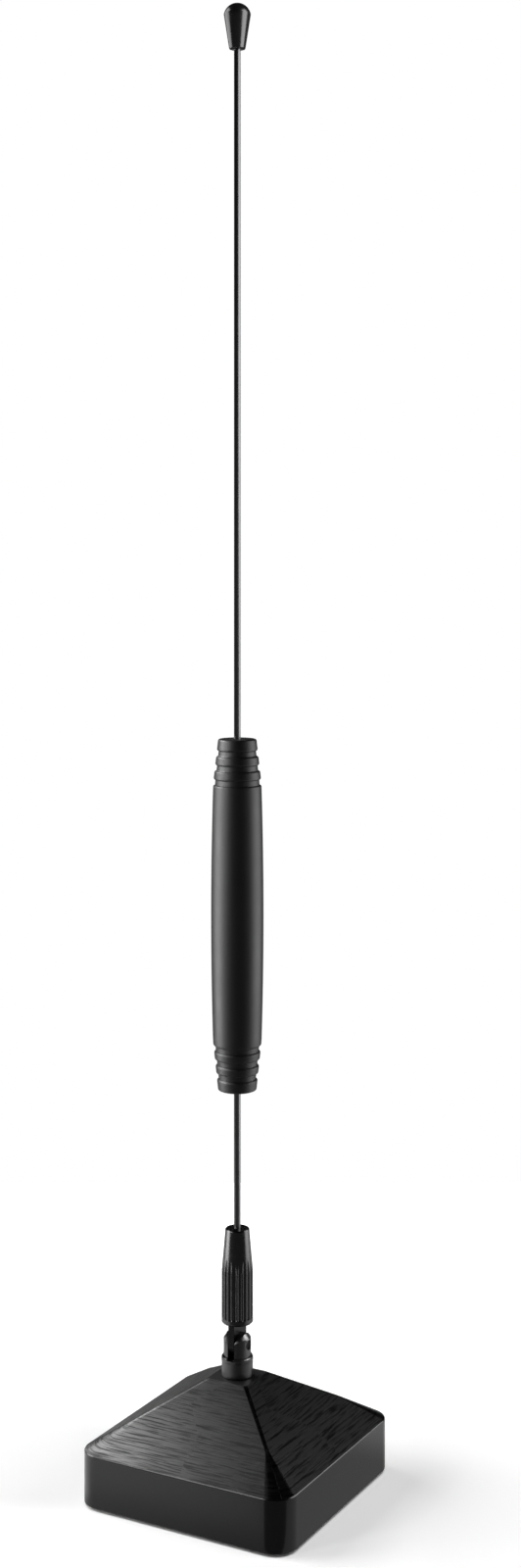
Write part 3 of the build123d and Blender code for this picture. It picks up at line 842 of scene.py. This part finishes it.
base_shell = make_base_shell()
fluted_sleeve = make_fluted_sleeve()
make_ringed_barrel()
lower_whip, upper_whip = (
    turned_piece(name, rod_outline(node), ROD_SEGMENTS, ROD_SHARP, "rod_steel", "mast", node)
    for name, node in (("lower_whip", "lower_rod"), ("upper_whip", "upper_rod")))
tip_knob = turned_piece("tip_knob", tip_outline(), TIP_SEGMENTS, TIP_SHARP,
                        "tip_plastic", "mast", "tip_cap")
slotted_fork = smooth_copy("knuckle_fork", "slotted_fork", "knuckle_metal", "base",
                           FORK_SHARP, bevel=FORK_EASE)
tilting_blade = smooth_copy("knuckle_tongue", "tilting_blade", "knuckle_metal", "mast",
                            bevel=BLADE_EASE)
smooth_copy("pivot_rivet", "cross_pin", "rivet_steel", "base")
smooth_copy("cable_grommet", "inlet_grommet", "grommet_rubber", "base")
smooth_copy("foot_pad", "rubber_foot", "pad_rubber", "base")

# the CAD nodes that keep their own mesh take the finish of their slot
for part in frame["record"]["subparts"]:
    node_slots = cad_nodes[part["node"]].data.materials
    node_slots.clear()
    node_slots.append(finishes[part["material_slot"]])


# ---------------------------------------------------------------- camera and light

CAMERA_TURN = math.radians(28.77)
CAMERA_PLACE = Vector((0.30576, -0.54278, 0.27979))

camera_data = bpy.data.cameras.new("photo_camera")
camera_data.lens = 47.61
camera_data.sensor_width = 36.0
camera_data.shift_x = 0.0004
camera_data.shift_y = -0.1464
camera_data.clip_start = 0.01
camera = bpy.data.objects.new("photo_camera", camera_data)
camera.location = CAMERA_PLACE
camera.rotation_euler = (math.pi / 2, 0.0, CAMERA_TURN)
scene.collection.objects.link(camera)
scene.camera = camera
scene.view_settings.view_transform = "Standard"

# directions as the camera sees them
TO_RIGHT = Vector((math.cos(CAMERA_TURN), math.sin(CAMERA_TURN), 0.0))
TO_CAMERA = Vector((math.sin(CAMERA_TURN), -math.cos(CAMERA_TURN), 0.0))

# metres to the camera's right, towards it and up, the height aimed at, width, height, and radiance
SOFT_BOXES = {
    "left_box": (-0.76, -0.03, 0.04, 0.04, 0.50, 1.10, 6.5),
    "right_box": (0.738, -0.104, 0.12, 0.12, 0.63, 1.10, 3.0),
    "overhead_box": (-0.39, -0.13, 0.47, 0.02, 0.24, 0.20, 23.0),
    "shadow_box": (-0.92, -0.43, 0.78, 0.02, 1.10, 1.00, 3.15),
    "rim_strip": (-0.66, 0.43, 0.31, 0.05, 0.14, 0.30, 11.0),
    "back_card": (0.64, -0.76, 0.67, 0.03, 0.50, 0.40, 0.12),
    "ridge_box": (-0.43, -0.48, 0.47, 0.02, 0.45, 0.45, 6.5),
    "fork_left": (-0.74, 0.00, 0.38, 0.38, 0.75, 0.40, 3.4),
    "fork_right": (0.73, 0.10, 0.30, 0.30, 0.90, 0.25, 3.4),
    "ear_box": (0.60, -0.03, 0.43, 0.043, 0.30, 0.30, 8.0),
    "whip_box": (0.64, 0.40, 0.69, 0.69, 0.50, 0.80, 2.7),
    "low_whip_box": (0.64, 0.40, 0.45, 0.45, 0.50, 0.80, 1.6),
    "tip_left": (-0.676, -0.18, 0.62, 0.62, 0.70, 1.10, 3.2),
    "tip_right": (0.66, 0.24, 0.62, 0.62, 0.60, 1.10, 5.2),
}


def soft_box(name, right, toward, up, aim_up, width, height, radiance):
    """A rectangular soft light that is aimed at the mast axis."""
    data = bpy.data.lights.new(name, "AREA")
    data.shape = "RECTANGLE"
    data.size = width
    data.size_y = height
    data.energy = radiance * math.pi * width * height
    lamp = bpy.data.objects.new(name, data)
    lamp.visible_camera = False
    lamp.location = TO_RIGHT * right + TO_CAMERA * toward + Vector((0.0, 0.0, up))
    aim = Vector((0.0, 0.0, aim_up)) - lamp.location
    lamp.rotation_euler = aim.to_track_quat("-Z", "Y").to_euler()
    scene.collection.objects.link(lamp)
    return lamp


lamps = {name: soft_box(name, *row) for name, row in SOFT_BOXES.items()}


def flag(lamp, state, pieces):
    """Flag a lamp off some pieces, or on to them alone, as a card on a stand would."""
    group = bpy.data.collections.new(lamp.name + "_flag")
    for piece in pieces:
        group.objects.link(piece)
    lamp.light_linking.receiver_collection = group
    for entry in group.collection_objects:
        entry.light_linking.link_state = state


def mirrored_ray(tree, path):
    """Whether a ray comes from a mirroring or clear surface."""
    return calc(tree, "MAXIMUM", path["Is Glossy Ray"], path["Is Transmission Ray"])


BACKDROP_EDGE = (0.993, 0.999)    # cosine off the view's middle, out of the backdrop and in it
STUDIO_CLIMB = (-0.1, 0.2)        # how steeply a ray climbs, and the studio's level there
STUDIO_LEVEL = (0.10, 0.012)


def make_world():
    """White backdrop where the camera looks, dim studio everywhere else, darkest overhead."""
    world = bpy.data.worlds.new("studio")
    world.use_nodes = True
    scene.world = world
    tree = world.node_tree
    background = tree.nodes["Background"]
    path = put(tree, "ShaderNodeLightPath").outputs
    direction = put(tree, "ShaderNodeTexCoord").outputs["Generated"]
    backdrop = blend_range(tree, dot(tree, direction, -TO_CAMERA), *BACKDROP_EDGE)
    seen = calc(tree, "MAXIMUM", path["Is Camera Ray"],
                mult(tree, mirrored_ray(tree, path), backdrop))
    dim = blend_range(tree, split(tree, direction)["Z"], *STUDIO_CLIMB, *STUDIO_LEVEL)
    level = calc(tree, "MAXIMUM", seen, dim)
    feed(tree, two_tone(tree, level, grey(0.0), grey(1.0)), background.inputs["Color"])
    background.inputs["Strength"].default_value = 1.0


make_world()


# ---------------------------------------------------------------- floor

SHEET_REACH = 0.30        # the floor sheet, in metres from the mast axis to its sides and back
SHEET_NOTCH = 0.047       # its front is cut in a V that ends just before the base's near corner
NOTCH_LEFT, NOTCH_RIGHT = 0.005, 0.014
LEFT_FLARE, RIGHT_FLARE = 0.70, 0.58      # how steeply the V opens
SHEET_GREY = 0.8
SHEET_ROUGHNESS = 0.9

# what the camera sees of the sheet: its own glow, less faint painted shadows beside the base and a
# painted dark line under the base's foot
GLOW_START = 0.10
GLOW_LEVEL = (0.5, 1.0)
PAINTED_FOOT_LINE = (0.0062, 0.0071)              # painted dark line under the base's foot: span past the straight part of the base's sides
LEFT_PAINTED_SHADOW = ((-0.030, -0.046), 0.20)     # painted shadow: span to the right, and its depth there
LEFT_PAINTED_SHADOW_FRONT = (0.026, 0.006)
LEFT_PAINTED_SHADOW_BACK = (-0.062, -0.040)
RIGHT_PAINTED_SHADOW = ((0.046, 0.060), 0.045)

# painted reflection: the glow that the part mirrors of the sheet, by spans to the right, towards the
# camera, and along X and Y
PAINTED_SHINE_ACROSS = ((-0.07, 0.02), (0.87, 0.36))
FAR_LEFT, FAR_RIGHT = (-0.055, -0.085), (0.06, 0.15)
CORNER_INNER, CORNER_OUTER = (-0.040, -0.055), (-0.095, -0.080)
CORNER_FRONT = (0.025, 0.010)
BACK_RIGHT_Y = ((0.033, 0.060), 0.36)
BACK_RIGHT = (0.02, 0.04)
PAINTED_FOOT_DIM = ((-0.060, -0.036), (1.0, 0.72))
PAINTED_FOOT_DIM_END = (0.028, 0.036)
BACK_DIM = ((-0.11, -0.03), (0.62, 1.0))
FRONT_FADE = (0.058, 0.085)


def sheet_glow_and_painted_shade(tree, place, spot, right, toward):
    """The sheet's own white glow, less painted shadows beside the base and a painted dark line under
    its foot.
    """
    out = put(tree, "ShaderNodeVectorMath", {0: place}, operation="LENGTH").outputs["Value"]
    glow_and_painted_shade = blend_range(tree, out, GLOW_START, SHEET_REACH, *GLOW_LEVEL)
    # painted dark line under the base's foot: the glow falls to nothing over the base's footprint
    straight = (BASE_HALF - BASE_CORNER) * MM
    past_x, past_y = (
        calc(tree, "MAXIMUM",
             calc(tree, "SUBTRACT", calc(tree, "ABSOLUTE", spot[axis]), straight), 0.0)
        for axis in ("X", "Y"))
    past = calc(tree, "SQRT", calc(tree, "MULTIPLY_ADD", past_x, past_x,
                                   mult(tree, past_y, past_y)))
    glow_and_painted_shade = mult(tree, glow_and_painted_shade, blend_range(tree, past, *PAINTED_FOOT_LINE))
    # painted shadows beside the base, taken off the glow
    span, painted_shadow_depth = LEFT_PAINTED_SHADOW
    left_painted_shadow = mult(tree, blend_range(tree, right, *span, 0.0, painted_shadow_depth),
                      blend_range(tree, toward, *LEFT_PAINTED_SHADOW_FRONT),
                      blend_range(tree, toward, *LEFT_PAINTED_SHADOW_BACK))
    span, painted_shadow_depth = RIGHT_PAINTED_SHADOW
    right_painted_shadow = blend_range(tree, right, *span, 0.0, painted_shadow_depth)
    return calc(tree, "SUBTRACT", glow_and_painted_shade, calc(tree, "ADD", left_painted_shadow, right_painted_shadow))


def sheet_painted_reflection(tree, spot, right, toward):
    """Painted reflection: the sheet's glow as the part mirrors it, brightest at the far sides, dim to
    the front and back and by the base's foot.
    """
    span, painted_shine = BACK_RIGHT_Y
    back_right = mult(tree, blend_range(tree, spot["Y"], *span, 0.0, painted_shine),
                      blend_range(tree, right, *BACK_RIGHT))
    span, levels = PAINTED_SHINE_ACROSS
    near = calc(tree, "ADD", blend_range(tree, right, *span, *levels), back_right)
    # painted shade in the reflection: dimmer by the base's foot
    span, levels = PAINTED_FOOT_DIM
    painted_dim_by_foot = calc(tree, "MAXIMUM", blend_range(tree, spot["Y"], *span, *levels),
                   blend_range(tree, spot["X"], *PAINTED_FOOT_DIM_END))
    far_side = calc(tree, "MAXIMUM", blend_range(tree, right, *FAR_LEFT),
                    blend_range(tree, right, *FAR_RIGHT))
    by_corner = mult(tree, blend_range(tree, right, *CORNER_INNER),
                     blend_range(tree, right, *CORNER_OUTER),
                     blend_range(tree, toward, *CORNER_FRONT))
    bright = calc(tree, "MAXIMUM", mult(tree, near, painted_dim_by_foot),
                  calc(tree, "MAXIMUM", far_side, by_corner))
    span, levels = BACK_DIM
    return mult(tree, bright, blend_range(tree, toward, *span, *levels),
                blend_range(tree, toward, *FRONT_FADE, 1.0, 0.0))


def make_floor():
    """Plain white sheet that keeps the part's shadow and runs out into the white backdrop, with
    painted shadows and a painted reflection.
    """
    material, tree, shader, coords = start_finish("white_floor")
    place = coords["Object"]
    spot = split(tree, place)
    right = dot(tree, place, TO_RIGHT)
    toward = dot(tree, place, TO_CAMERA)
    path = put(tree, "ShaderNodeLightPath").outputs
    mirrored = mirrored_ray(tree, path)
    glow_and_painted_shade = sheet_glow_and_painted_shade(tree, place, spot, right, toward)
    painted_shine = sheet_painted_reflection(tree, spot, right, toward)
    # the camera sees the glow with its painted shadows; the part mirrors the painted reflection
    seen = calc(tree, "MAXIMUM", mult(tree, path["Is Camera Ray"], glow_and_painted_shade),
                mult(tree, mirrored, painted_shine))
    # the sheet is black to mirroring rays, so the part mirrors only the painted reflection
    feed(tree, two_tone(tree, mirrored, grey(SHEET_GREY), grey(0.0)), shader.inputs["Base Color"])
    shader.inputs["Roughness"].default_value = SHEET_ROUGHNESS
    shader.inputs["Specular IOR Level"].default_value = 0.0
    shader.inputs["Emission Strength"].default_value = 1.0
    light = put(tree, "ShaderNodeCombineColor")
    for channel in light.inputs:
        feed(tree, seen, channel)
    feed(tree, light.outputs[0], shader.inputs["Emission Color"])

    corners = [TO_RIGHT * aside + TO_CAMERA * ahead for aside, ahead in (
        (-SHEET_REACH, LEFT_FLARE * SHEET_REACH + SHEET_NOTCH), (NOTCH_LEFT, SHEET_NOTCH),
        (NOTCH_RIGHT, SHEET_NOTCH), (SHEET_REACH, RIGHT_FLARE * SHEET_REACH + SHEET_NOTCH),
        (SHEET_REACH, -SHEET_REACH), (-SHEET_REACH, -SHEET_REACH))]
    mesh = bpy.data.meshes.new("floor")
    mesh.from_pydata(corners, [], [(0, 1, 4, 5), (1, 2, 4), (2, 3, 4)])
    mesh.materials.append(material)
    sheet = bpy.data.objects.new("floor", mesh)
    scene.collection.objects.link(sheet)
    return sheet


floor = make_floor()
knuckle = (slotted_fork, tilting_blade)
whips = (lower_whip, upper_whip)
LAMP_FLAGS = {
    "left_box": ("EXCLUDE", *whips, *knuckle, tip_knob),
    "right_box": ("EXCLUDE", *knuckle, tip_knob),
    "rim_strip": ("EXCLUDE", *whips, *knuckle, tip_knob),
    "overhead_box": ("EXCLUDE", *whips, *knuckle, fluted_sleeve, tip_knob, floor),
    "shadow_box": ("INCLUDE", floor),
    "ridge_box": ("INCLUDE", base_shell),
    "fork_left": ("INCLUDE", slotted_fork),
    "fork_right": ("INCLUDE", *knuckle),
    "ear_box": ("INCLUDE", slotted_fork),
    "whip_box": ("INCLUDE", upper_whip),
    "low_whip_box": ("INCLUDE", lower_whip),
    "tip_left": ("INCLUDE", tip_knob),
    "tip_right": ("INCLUDE", tip_knob),
}
for name, (state, *pieces) in LAMP_FLAGS.items():
    flag(lamps[name], state, pieces)
